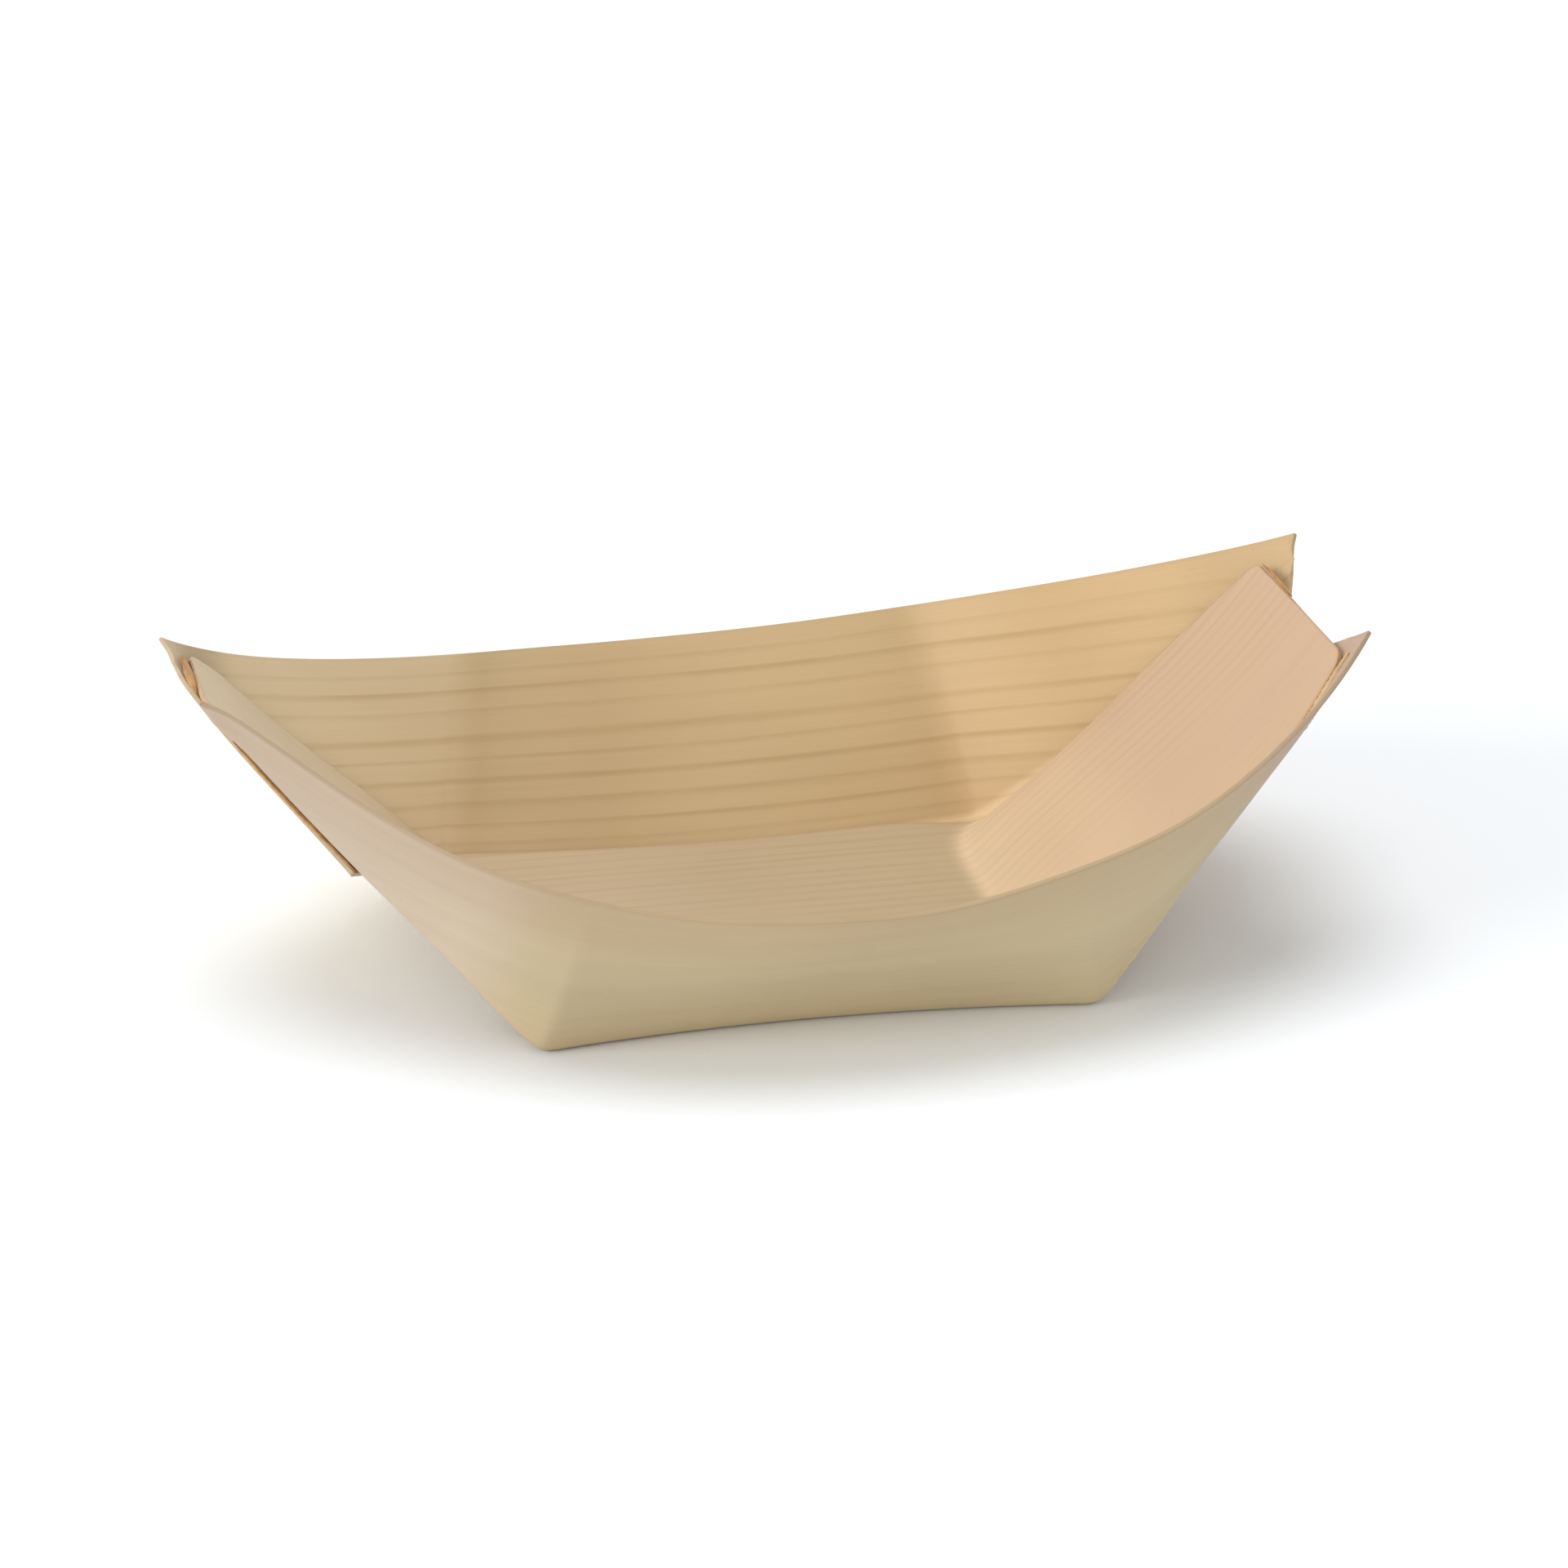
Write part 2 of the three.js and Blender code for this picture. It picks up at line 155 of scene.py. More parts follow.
# What the patterns do: the lowest and highest value read and, where there are four, what these give
FLECK_RANGE = (0.7, 0.8)
RING_WEIGHT = (0, 1, 0.45, 1)
PATCH_WEIGHT = (0.3, 0.7, 0.5, 1)
FIBRE_SHADE = (0.2, 0.8, 0.975, 1.025)
STREAK_SHADE = (0.25, 0.75, 0.98, 1.02)
BLOTCH_SHADE = (0.25, 0.75, 0.97, 1.03)
FLECK_SHADE = (0, 1, 1, 0.93)
CUT_RANGE = (0.3, 0.7)
WOOD_ROUGHNESS = (0.3, 1.5, 0.72, 0.55)

# Unevenness of the rings, relief of the surface and its shine
RING_SPREAD = 1.2
FIBRE_RELIEF, LATE_RELIEF, FLECK_RELIEF = 0.6, 0.5, 0.4
WOOD_BUMP = {"Strength": 0.25, "Distance": 0.04 * MM}
WOOD_SPECULAR = 0.25

# Places in mm across a sheet where the rings change, where a wall darkens towards its rim as painted
# shade, and where it lightens towards its lower fold as painted light
SIDE_SPAN = (-8, 8)
RIM_SHADE_SPAN, FOOT_LIGHT_SPAN = (13, 26), (12, 0)

# Dried glue: repeats per metre, detail and roughness of its clouds, and what the clouds do
GLUE_CLOUDS = ((900, 900, 900), 3, 0.5)
GLUE_RANGE = (0.3, 0.7)
GLUE_ROUGHNESS = (0.3, 0.5)
GLUE_BUMP = {"Strength": 0.3, "Distance": 0.05 * MM}

# Stage and light: each sun's name, the way towards it, its strength and its width in degrees
STAGE_COLOUR = (0.93, 0.965, 1, 1)
STAGE_ROUGHNESS = 0.9
STAGE_HALF = 4
STAGE_LEVEL = -0.03 * MM
AMBIENT, BACKDROP = 0.62, 1
SUNS = (("key", (-0.88, -0.25, 0.38), 1.2, 30), ("top", (-0.1, 0.1, 1), 1.2, 38))

# Camera, from a fit to the rim, the folds and the ear tips
CAMERA_AZIMUTH = math.radians(-15.32)
CAMERA_ELEVATION = math.radians(24.6)
CAMERA_ROLL = math.radians(1.87)
CAMERA_DISTANCE = 1.235
CAMERA_LENS_MM = 238.7
CAMERA_SENSOR_MM = 36
CAMERA_AIM_RIGHT = 3.74 * MM
CAMERA_AIM_UP = 17.95 * MM
CAMERA_SIGHT = 20


def mix(low, high, share):
    return low + (high - low) * share


def smooth(value, low, high):
    share = np.clip((value - low) / (high - low), 0, 1)
    return share * share * (3 - 2 * share)


# The shape of the boat

def make_end(direction, ear_spread, ear_rise, sag, draw, lift, **details):
    """One raised end: its slope, the taper of the fold, and the folded-in corner of a panel."""
    reach = LENGTH / 2 - direction * FLOOR_SHIFT
    run, rise = reach - FLOOR_HALF, EAR_HEIGHT - WRAP_LEVEL
    slope, ear_half = math.hypot(run, rise), ear_spread / 2
    crease = math.hypot(FLOOR_WIDTH / 2 - ear_half, slope)
    flap_length = math.sqrt(crease ** 2 - PANEL_HEIGHT ** 2)
    turned = math.atan2(FLOOR_WIDTH / 2 - ear_half, slope) + math.asin(PANEL_HEIGHT / crease)
    corner_run = flap_length * math.cos(turned) - FLANGE_WIDTH * math.sin(turned)
    corner_in = flap_length * math.sin(turned) + FLANGE_WIDTH * math.cos(turned)
    corner_half = FLOOR_WIDTH / 2 - corner_in
    cut = Vector((slope - corner_run, ear_half - corner_half)).normalized()
    return SimpleNamespace(
        direction=direction, reach=reach, slope=slope, ear_half=ear_half, turned=turned, cut=cut,
        sag=sag, draw=draw, lift=lift, flap_length=flap_length, angle=math.atan2(rise, run),
        lap_first=corner_run * (FLOOR_WIDTH / 2) / corner_in, **details,
        lap_last=mix(corner_run, slope, -corner_half / (ear_half - corner_half)),
        corner_run=corner_run, corner_half=corner_half, strip_top=slope - ear_rise,
        fold_end=slope - EAR_CUT * cut.x, fold_end_half=ear_half - EAR_CUT * cut.y)


LEFT = make_end(
    direction=-1, ear_spread=19 * MM, ear_rise=2.5 * MM, sag=1 * MM, draw=(0.87, 0.63),
    lift=(0.45, 0.9), strip_skew=0.8 * MM, strip_twist=0, side_room=STRIP_CLEARANCE, strip_nip=0,
    strip_bow=0, spring=0.95 * MM, spring_from=(28 * MM, 48 * MM), spring_back=4.5 * MM)
RIGHT = make_end(
    direction=1, ear_spread=29.7 * MM, ear_rise=4.7 * MM, sag=0.8 * MM, draw=(0.54, 0.49),
    lift=(0.89, 0), strip_skew=0.6 * MM, strip_twist=0.95 * MM, side_room=-0.95 * MM,
    strip_nip=3 * MM, strip_bow=4.8 * MM, spring=1.45 * MM, spring_from=(18 * MM, 30 * MM),
    spring_back=9 * MM)


def by_end(place, function, *others):
    """function(end, run, ...) of every point, each with the end that it belongs to."""
    place, *others = np.broadcast_arrays(np.asarray(place, float), *others)
    result = np.empty(place.shape)
    for end in (LEFT, RIGHT):
        here = (place < 0) == (end.direction < 0)
        run = np.abs(place[here]) - FLOOR_HALF
        result[here] = function(end, run, *(other[here] for other in others))
    return result


def section(end, run):
    """Long section of the wrapped sheets: flat floor, soft bend and sagging slope."""
    def slope_point(at):
        share = at / end.slope
        sag = 4 * end.sag * share * (1 - share)
        return (FLOOR_HALF + at * math.cos(end.angle) + sag * math.sin(end.angle),
                WRAP_LEVEL + at * math.sin(end.angle) - sag * math.cos(end.angle))

    share = np.clip((run + END_BEND) / (2 * END_BEND), 0, 1)
    last_x, last_z = slope_point(END_BEND)
    first_x = FLOOR_HALF - END_BEND
    bend_x = (1 - share) ** 2 * first_x + 2 * share * (1 - share) * FLOOR_HALF + share ** 2 * last_x
    bend_z = (1 - share ** 2) * WRAP_LEVEL + share ** 2 * last_z
    slope_x, slope_z = slope_point(run)
    x = np.where(run < -END_BEND, FLOOR_HALF + run, np.where(run > END_BEND, slope_x, bend_x))
    z = np.where(run < -END_BEND, WRAP_LEVEL, np.where(run > END_BEND, slope_z, bend_z))
    return x, z


def base_points(place, across, lift):
    """Points at a place along the boat, across it, and lifted off the wrapped sheets."""
    place, across, lift = np.broadcast_arrays(np.asarray(place, float), across, lift)
    points = np.empty(place.shape + (3,))
    for end in (LEFT, RIGHT):
        here = (place < 0) == (end.direction < 0)
        run = np.abs(place[here]) - FLOOR_HALF
        x, z = section(end, run)
        ahead_x, ahead_z = section(end, run + NUDGE)
        behind_x, behind_z = section(end, run - NUDGE)
        along_x, along_z = ahead_x - behind_x, ahead_z - behind_z
        off = lift[here] / np.hypot(along_x, along_z)
        forward = x - off * along_z
        points[here] = np.stack(
            [FLOOR_SHIFT + end.direction * forward, across[here], z + off * along_x], -1)
    return points


def fold_half(place, side=BACK):
    """Half the width between the panels' lower folds, of which the front right one is wavy."""
    def half(end, run):
        share = (run + FLOOR_HALF) / FLOOR_HALF
        floor = FLOOR_WIDTH / 2 - FLOOR_WAIST * (1 - np.minimum(share, 1) ** 2)
        taper = mix(FLOOR_WIDTH / 2, end.fold_end_half, run / end.fold_end)
        straight = np.where(run <= 0, floor, taper)
        if side == BACK or end.direction < 0:
            return straight
        return straight + sum(
            height * np.exp(-((run - middle) / width) ** 2) for middle, width, height in FOLD_WAVES)
    return by_end(place, half)


def lap_edge(place, side):
    """Place and half width of a panel's edge past its fold, under the floor or behind an end."""
    def share_of(end, run):
        return np.clip((run - end.corner_run) / (end.fold_end - end.corner_run), 0, 1)

    def last_run(end, run):
        last = end.fold_end - LEAST_LAP * end.cut.x
        return np.where(run <= end.corner_run, run, mix(end.corner_run, last, share_of(end, run)))

    def half(end, run, fold):
        flange = fold - np.clip(-run, CORNER_LAP, FLANGE_WIDTH)
        flap = mix(FLOOR_WIDTH / 2, end.corner_half, run / end.corner_run)
        last = end.fold_end_half - LEAST_LAP * end.cut.y
        cut = mix(end.corner_half, last, share_of(end, run))
        inner = np.where(run <= 0, flange, np.minimum(flap, fold - CORNER_LAP))
        return np.where(run <= end.corner_run, inner, cut)

    run = by_end(place, last_run)
    return np.sign(place) * (FLOOR_HALF + run), by_end(place, half, fold_half(place, side))


def lap_lift(place, side):
    """How far a flap lies off the wrapped sheets: the back flap passes behind the front one."""
    def lift(end, run):
        raised = PITCH * smooth(run, 0, end.lap_first) * (1 - smooth(run, end.lap_last, end.slope))
        if side == FRONT:
            return raised if end.direction < 0 else 0 * run
        return -raised if end.direction > 0 else 0 * run
    return by_end(place, lift)


def free_lift(place, side):
    """The same at the free edge of a flap: those of the back panel spring off."""
    def lift(end, run):
        level = PITCH * smooth(run, 0, end.lap_first) if end.direction > 0 else 0
        rise = level + end.spring * smooth(run, *end.spring_from)
        return -rise * np.clip((end.slope - run) / end.spring_back, 0, 1)
    return by_end(place, lift) if side == BACK else lap_lift(place, side)


def ease(share, powers):
    """From 0 to 1 with the second, fourth and eighth power of the share."""
    second, fourth = powers
    return second * share ** 2 + fourth * share ** 4 + (1 - second - fourth) * share ** 8


def rim_points(place, side):
    """Points of a rim, which draws in and rises towards its two ears."""
    def share_of(end, run):
        past = mix(RIM_FOLD, 1, np.maximum(run, 0) / end.fold_end)
        return np.where(run <= 0, RIM_FOLD * (run + FLOOR_HALF) / FLOOR_HALF, past)

    def half_at(end, run, at):
        return mix(RIM_HALF, end.ear_half, ease(at, end.draw))

    def height_at(end, run, at):
        return mix(RIM_HEIGHT, EAR_HEIGHT, ease(at, end.lift))

    share = by_end(place, share_of)
    x = by_end(place, lambda end, run, at: end.direction * end.reach * at, share)
    z = by_end(place, height_at, share)
    for middle, width, height in RIM_WAVES[side]:
        z = z + height * np.exp(-((x - middle) / width) ** 2)
    return np.stack([FLOOR_SHIFT + x, side * by_end(place, half_at, share), z], -1)


# Sheets as meshes

def edge_distance(to_edge):
    """Half thickness of a sheet at a distance from its cut edge, which is rounded."""
    inside = EDGE_ROUND - np.minimum(to_edge, EDGE_ROUND)
    return VENEER / 2 - EDGE_ROUND + np.sqrt(np.maximum(EDGE_ROUND ** 2 - inside ** 2, 0))


def unit(vectors):
    return vectors / np.maximum(np.linalg.norm(vectors, axis=-1, keepdims=True), TINY)


def sheet_normals(points):
    along = np.gradient(points, axis=0)
    across = np.gradient(points, axis=1)
    return unit(np.cross(along, across))


def link_mesh(name, vertices, faces, material):
    mesh = bpy.data.meshes.new(name)
    points = [tuple(vertex) for vertex in vertices]
    corners = [tuple(int(index) for index in face) for face in faces]
    mesh.from_pydata(points, [], corners)
    mesh.polygons.foreach_set("use_smooth", [True] * len(mesh.polygons))
    mesh.materials.append(material)
    mesh.update()
    piece = bpy.data.objects.new(name, mesh)
    bpy.context.scene.collection.objects.link(piece)
    return piece


def grid_faces(rows, columns):
    """Quads of a closed body: an upper grid, a lower grid and the band between their borders."""
    index = np.arange(rows * columns).reshape(rows, columns)
    up = index + rows * columns

    def quads(*corners):
        return np.stack([corner.ravel() for corner in corners], -1)

    def band(low, high):
        return quads(low[:-1], low[1:], high[1:], high[:-1])

    return np.vstack([
        quads(up[:-1, :-1], up[1:, :-1], up[1:, 1:], up[:-1, 1:]),
        quads(index[:-1, :-1], index[:-1, 1:], index[1:, 1:], index[1:, :-1]),
        band(index[:, 0], up[:, 0]), band(up[:, -1], index[:, -1]),
        band(up[0], index[0]), band(index[-1], up[-1])])


def sheet_piece(name, points, flat, to_edge, material):
    """Closed sheet around a middle surface, with what its material reads: flat place and edge."""
    rows, columns = to_edge.shape
    normals = sheet_normals(points)
    half = edge_distance(to_edge)
    lower = points - normals * half[..., None]
    upper = points + normals * half[..., None]
    vertices = np.concatenate([lower.reshape(-1, 3), upper.reshape(-1, 3)])
    piece = link_mesh(name, vertices, grid_faces(rows, columns), material)
    flat_place = np.zeros((2, rows, columns, 3))
    flat_place[..., :2] = flat
    flat_place[1, ..., 2] = VENEER
    cut = np.broadcast_to(1 - smooth(to_edge, 0, 2 * EDGE_ROUND), (2, rows, columns))
    attribute = piece.data.attributes.new("flat", "FLOAT_VECTOR", "POINT")
    attribute.data.foreach_set("vector", flat_place.ravel().astype(np.float32))
    attribute = piece.data.attributes.new("cut", "FLOAT", "POINT")
    attribute.data.foreach_set("value", cut.ravel().astype(np.float32))
    return piece


def steps(low, high, size):
    return np.linspace(low, high, max(2, round(abs(high - low) / size) + 1))


def edge_steps(length):
    """Steps from a cut edge inwards over its rounding, for a stretch of that length."""
    return np.minimum(np.array(EDGE_STEPS) * EDGE_ROUND, length / 4)


def both_ends(stretch_of):
    """Places along the whole boat from the places of each half, counted from the middle."""
    left = np.unique(np.concatenate(stretch_of(LEFT)))
    right = np.unique(np.concatenate(stretch_of(RIGHT)))
    return np.concatenate([-left[:0:-1], right])


# The base strip

def up_slope(end, run, span):
    """From 0 to 1 between two shares of an end's slope."""
    return smooth(run, span[0] * end.slope, span[1] * end.slope)


def strip_lift(place, share):
    """How far the strip lies off the wrapped sheets: its back edge stands off at the right end."""
    def twist(end, run, at):
        return end.strip_twist * smooth(run, TWIST_FROM * end.slope, end.strip_top) * (1 + at) / 2
    return PITCH + lap_lift(place, FRONT) + by_end(place, twist, share)


def strip_half(place, share):
    """Half width of the strip: at the right end it nears the front wall and is nipped in behind."""
    def room(end, run):
        return mix(STRIP_CLEARANCE, end.side_room, up_slope(end, run, ROOM_SPAN))

    def nip(end, run):
        nipped = up_slope(end, run, NIP_IN) * (1 - up_slope(end, run, NIP_OUT))
        return STRIP_CLEARANCE + end.strip_nip * nipped

    front_half = fold_half(place, FRONT) - by_end(place, room)
    return np.where(share < 0, front_half, fold_half(place, BACK) - by_end(place, nip))


def strip_bow(place, share):
    """How far the middle of the strip's bend lies inside its corners."""
    def bow(end, run, at):
        near = up_slope(end, run, BOW_IN) * (1 - up_slope(end, run, BOW_OUT))
        return -end.direction * end.strip_bow * (1 - at ** BOW_POWER) * near
    return by_end(place, bow, share)


def skewed_places(place, share):
    """Places on the strip, whose ends are cut a little askew, at a share of its half width."""
    def skew(end, run, at):
        return -end.strip_skew * at * smooth(run, SKEW_FROM * end.slope, end.strip_top)
    return place + np.sign(place) * by_end(place, skew, share)


def base_strip(material):
    def stretches(end):
        top = FLOOR_HALF + end.strip_top
        turn = np.linspace(0, math.pi / 2, CORNER_ROWS)
        return (steps(0, top - STRIP_CORNER, ROW_STEP), top - STRIP_CORNER * (1 - np.sin(turn)),
                top - edge_steps(STRIP_CORNER))

    places = both_ends(stretches)
    to_top = by_end(places, lambda end, run: end.strip_top - run)
    into = STRIP_CORNER - np.clip(to_top, 0, STRIP_CORNER)
    rounded = STRIP_CORNER - np.sqrt(STRIP_CORNER ** 2 - into ** 2)
    edge = edge_steps(FLOOR_WIDTH) / (FLOOR_WIDTH / 2)
    inner = np.linspace(edge[-1] - 1, 1 - edge[-1], STRIP_COLUMNS)[1:-1]
    shares = np.concatenate([edge - 1, inner, 1 - edge[::-1]])
    skewed = skewed_places(places[:, None], shares)
    width = strip_half(skewed, shares) - rounded[:, None]
    across = width * shares
    points = base_points(skewed, across, strip_lift(skewed, shares))
    points[..., 0] += strip_bow(skewed, shares)
    flat = np.stack([skewed, across], -1)
    to_edge = np.minimum(width * (1 - np.abs(shares)), np.maximum(to_top, 0)[:, None])
    return sheet_piece("base_strip_veneer", points, flat, to_edge, material)


# The side panels

def panel_places():
    """Places along a side panel, closer together at its cut ends."""
    def stretches(end):
        corner, last = FLOOR_HALF + end.corner_run, FLOOR_HALF + end.fold_end
        return (steps(0, FLOOR_HALF, ROW_STEP), steps(FLOOR_HALF, corner, ROW_STEP),
                steps(corner, last - EDGE_ROUND, ROW_STEP), last - edge_steps(EAR_CUT))
    return both_ends(stretches)


def flat_lines(places, edge_place, edge_half):
    """Rim, fold and free edge of a panel on its flat sheet, from its middle and up from its fold."""
    def along(end, run):
        return FLOOR_HALF + np.minimum(run, 0) + np.maximum(run, 0) * end.flap_length / end.fold_end

    def way_up(end, run):
        bend = np.clip((run + END_BEND) / (2 * END_BEND), 0, 1)
        return np.where(run > END_BEND, run, END_BEND * bend ** 2) / end.fold_end

    def flap_u(end, run, half):
        out = half - FLOOR_WIDTH / 2
        return FLOOR_HALF + run * math.cos(end.turned) - out * math.sin(end.turned)

    def flap_v(end, run, half):
        out = half - FLOOR_WIDTH / 2
        return run * math.sin(end.turned) + out * math.cos(end.turned)

    on_floor = np.abs(places) <= FLOOR_HALF
    sign = np.where(places < 0, -1, 1)
    fold_u, fold_v = by_end(places, along), by_end(places, way_up) * PANEL_HEIGHT
    edge_u = np.where(on_floor, np.abs(places), by_end(edge_place, flap_u, edge_half))
    edge_v = np.where(on_floor, edge_half - fold_half(places), by_end(edge_place, flap_v, edge_half))
    rim_v = np.full(len(places), PANEL_HEIGHT)
    return [np.stack([sign * u, v], -1)
            for u, v in ((fold_u, rim_v), (fold_u, fold_v), (edge_u, edge_v))]


def column_shares(wall_span, lap_span):
    """Shares of the way down the wall and in along the lap, closer together at the cut edges."""
    edge = edge_steps(EAR_CUT)
    wall_edge, lap_edge_part = edge / wall_span[:, None], edge / lap_span[:, None]
    wall = np.linspace(0, 1, WALL_COLUMNS)[None]
    lap = np.linspace(0, 1, LAP_COLUMNS)[None]
    return (np.concatenate([wall_edge[:, :-1], mix(wall_edge[:, -1:], 1, wall)], 1),
            np.concatenate([(1 - lap_edge_part[:, -1:]) * lap, 1 - lap_edge_part[:, -2::-1]], 1))


def ruled(start, stop, shares):
    """Points between two lines, at shares of the way from one to the other."""
    return mix(start[:, None], stop[:, None], shares[..., None])


def edge_ways(points):
    """Way of every point of a panel from its rim, and to its nearest cut edge."""
    step_lengths = np.linalg.norm(np.diff(points, axis=1), axis=-1)
    from_rim = np.concatenate([np.zeros((len(points), 1)), np.cumsum(step_lengths, 1)], 1)
    to_lap_edge = from_rim[:, -1:] - from_rim
    to_left = np.linalg.norm(points - points[:1], axis=-1)
    to_right = np.linalg.norm(points - points[-1:], axis=-1)
    return from_rim, np.minimum(np.minimum(from_rim, to_lap_edge), np.minimum(to_left, to_right))


def panel_sheet(side):
    """Middle surface of a side panel from its rim down, round the fold and in under the boat."""
    places = panel_places()
    edge_place, edge_half = lap_edge(places, side)
    rim = rim_points(places, side)
    fold = base_points(places, side * fold_half(places, side), lap_lift(places, side))
    edge = base_points(edge_place, side * edge_half, free_lift(edge_place, side))
    flat_rim, flat_fold, flat_edge = flat_lines(places, edge_place, edge_half)

    wall_length = np.linalg.norm(rim - fold, axis=1)
    lap_length = np.linalg.norm(edge - fold, axis=1)
    reach = np.minimum(PANEL_BEND, np.minimum(wall_length, lap_length) / 2)
    wall_end = fold + unit(rim - fold) * reach[:, None]
    lap_start = fold + unit(edge - fold) * reach[:, None]
    wall_flat = mix(flat_fold, flat_rim, (reach / wall_length)[:, None])
    lap_flat = mix(flat_fold, flat_edge, (reach / lap_length)[:, None])

    wall_shares, lap_shares = column_shares(wall_length - reach, lap_length - reach)
    bend = np.linspace(0, 1, BEND_COLUMNS)[None, 1:-1, None]
    bend_points = ((1 - bend) ** 2 * wall_end[:, None] + 2 * bend * (1 - bend) * fold[:, None]
                   + bend ** 2 * lap_start[:, None])
    bend_flat = mix(wall_flat[:, None], lap_flat[:, None], bend)
    points = np.concatenate(
        [ruled(rim, wall_end, wall_shares), bend_points, ruled(lap_start, edge, lap_shares)], 1)
    flat = np.concatenate(
        [ruled(flat_rim, wall_flat, wall_shares), bend_flat,
         ruled(lap_flat, flat_edge, lap_shares)], 1)

    from_rim, to_edge = edge_ways(points)
    fold_column = wall_shares.shape[1] + (BEND_COLUMNS - 2) // 2
    past_fold = from_rim - from_rim[:, fold_column:fold_column + 1]
    return SimpleNamespace(
        places=places, points=points, flat=flat, to_edge=to_edge, past_fold=past_fold)


def add_belly(sheet, waves):
    """Slight waves of a thin wall, which die out towards its fold and its ears."""
    along, up = sheet.flat[..., 0], sheet.flat[..., 1]
    ripple = sum(np.sin(2 * math.pi * (along / length + up / height) + phase)
                 for (length, height), phase in waves) / len(waves)
    free = smooth(-sheet.past_fold, *BELLY_FADE)
    free = free * (1 - smooth(np.abs(along), FLOOR_HALF, FLOOR_HALF + LEFT.flap_length))
    normals = sheet_normals(sheet.points)
    sheet.points = sheet.points + normals * (BELLY_HEIGHT * free * ripple)[..., None]


def curl_ear(sheet, end):
    """Bend the tip of one ear inwards, most at its rim."""
    run = np.where(sheet.places * end.direction > 0, np.abs(sheet.places) - FLOOR_HALF, 0)
    way = (run / end.fold_end)[:, None]
    on_wall = smooth(-sheet.past_fold, 0, CURL_FADE)
    share = np.maximum(smooth(way, *CURL_WAY) * on_wall, smooth(way, *TIP_WAY))
    sheet.points[..., 0] -= end.direction * EAR_CURL * share


def front_panel(material):
    sheet = panel_sheet(FRONT)
    add_belly(sheet, FRONT_BELLY)
    curl_ear(sheet, LEFT)
    return sheet_piece("front_panel_veneer", sheet.points, sheet.flat, sheet.to_edge, material)


def back_panel(material):
    sheet = panel_sheet(BACK)
    add_belly(sheet, BACK_BELLY)
    return sheet_piece("back_panel_veneer", sheet.points, sheet.flat, sheet.to_edge, material)


# Glue that came out between the sheets

def glue_bead(name, path, radius, lump, taper, material):
    """Closed lumpy bead along a path, with pointed ends."""
    count = len(path)
    start, power = taper
    radii = radius * np.sin(np.linspace(start, math.pi - start, count)) ** power
    along = unit(np.gradient(path, axis=0))
    side = unit(np.cross(along, BEAD_UP))
    above = np.cross(side, along)
    row = np.arange(count)[:, None]
    turn = np.linspace(0, 2 * math.pi, BEAD_SIDES, endpoint=False)
    wave = LUMP_PITCH * row + LUMP_TURN * np.sin(turn) + LUMP_DRIFT * row * np.cos(LUMP_SWAY * row)
    swell = 1 + lump * np.sin(wave)
    ring = side[:, None] * np.cos(turn)[:, None] + above[:, None] * np.sin(turn)[:, None]
    vertices = path[:, None] + ring * (radii[:, None] * swell)[..., None]
    index = np.arange(count * BEAD_SIDES).reshape(count, BEAD_SIDES)
    after = np.roll(index, -1, 1)
    faces = np.stack([index[:-1], after[:-1], after[1:], index[1:]], -1).reshape(-1, 4).tolist()
    faces += [index[0, ::-1].tolist(), index[-1].tolist()]
    bead = link_mesh(name, vertices.reshape(-1, 3), faces, material)
    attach(bead, "root")


def top_bead(name, end, first, last, beyond, lift, radius, lump, material):
    """Bead along the top edge of the strip, between two shares of its half width."""
    share = np.linspace(first, last, TOP_BEAD_ROWS)
    top = np.full(len(share), end.direction * (FLOOR_HALF + end.strip_top))
    place = skewed_places(top, share)
    path = base_points(place + end.direction * beyond, strip_half(place, share) * share,
                       strip_lift(place, share) + lift)
    glue_bead(name, path, radius, lump, TOP_TAPER, material)


def fold_bead(name, end, first, last, inset, lift, radius, lump, material):
    """Bead along the front fold of one end, between two shares of the way to the ear."""
    run = np.linspace(first, last, FOLD_BEAD_ROWS) * end.fold_end
    place = end.direction * (FLOOR_HALF + run)
    path = base_points(place, inset - fold_half(place, FRONT), lift)
    glue_bead(name, path, radius, lump, FOLD_TAPER, material)


def add_beads(amber, pale):
    top_bead("left_top_bead", LEFT, first=0.99, last=-0.5, beyond=0.25 * MM, lift=-0.5 * MM,
             radius=0.5 * MM, lump=0.08, material=amber)
    top_bead("right_top_bead", RIGHT, first=0.97, last=0.25, beyond=0.1 * MM, lift=-0.4 * MM,
             radius=0.3 * MM, lump=0.1, material=amber)
    fold_bead("left_fold_bead", LEFT, first=0.53, last=0.9, inset=0.3 * MM, lift=0.45 * MM,
              radius=0.2 * MM, lump=0.15, material=amber)
    fold_bead("right_fold_bead", RIGHT, first=0.7, last=0.96, inset=-1.35 * MM, lift=0.8 * MM,
              radius=0.45 * MM, lump=0.12, material=pale)


# Materials

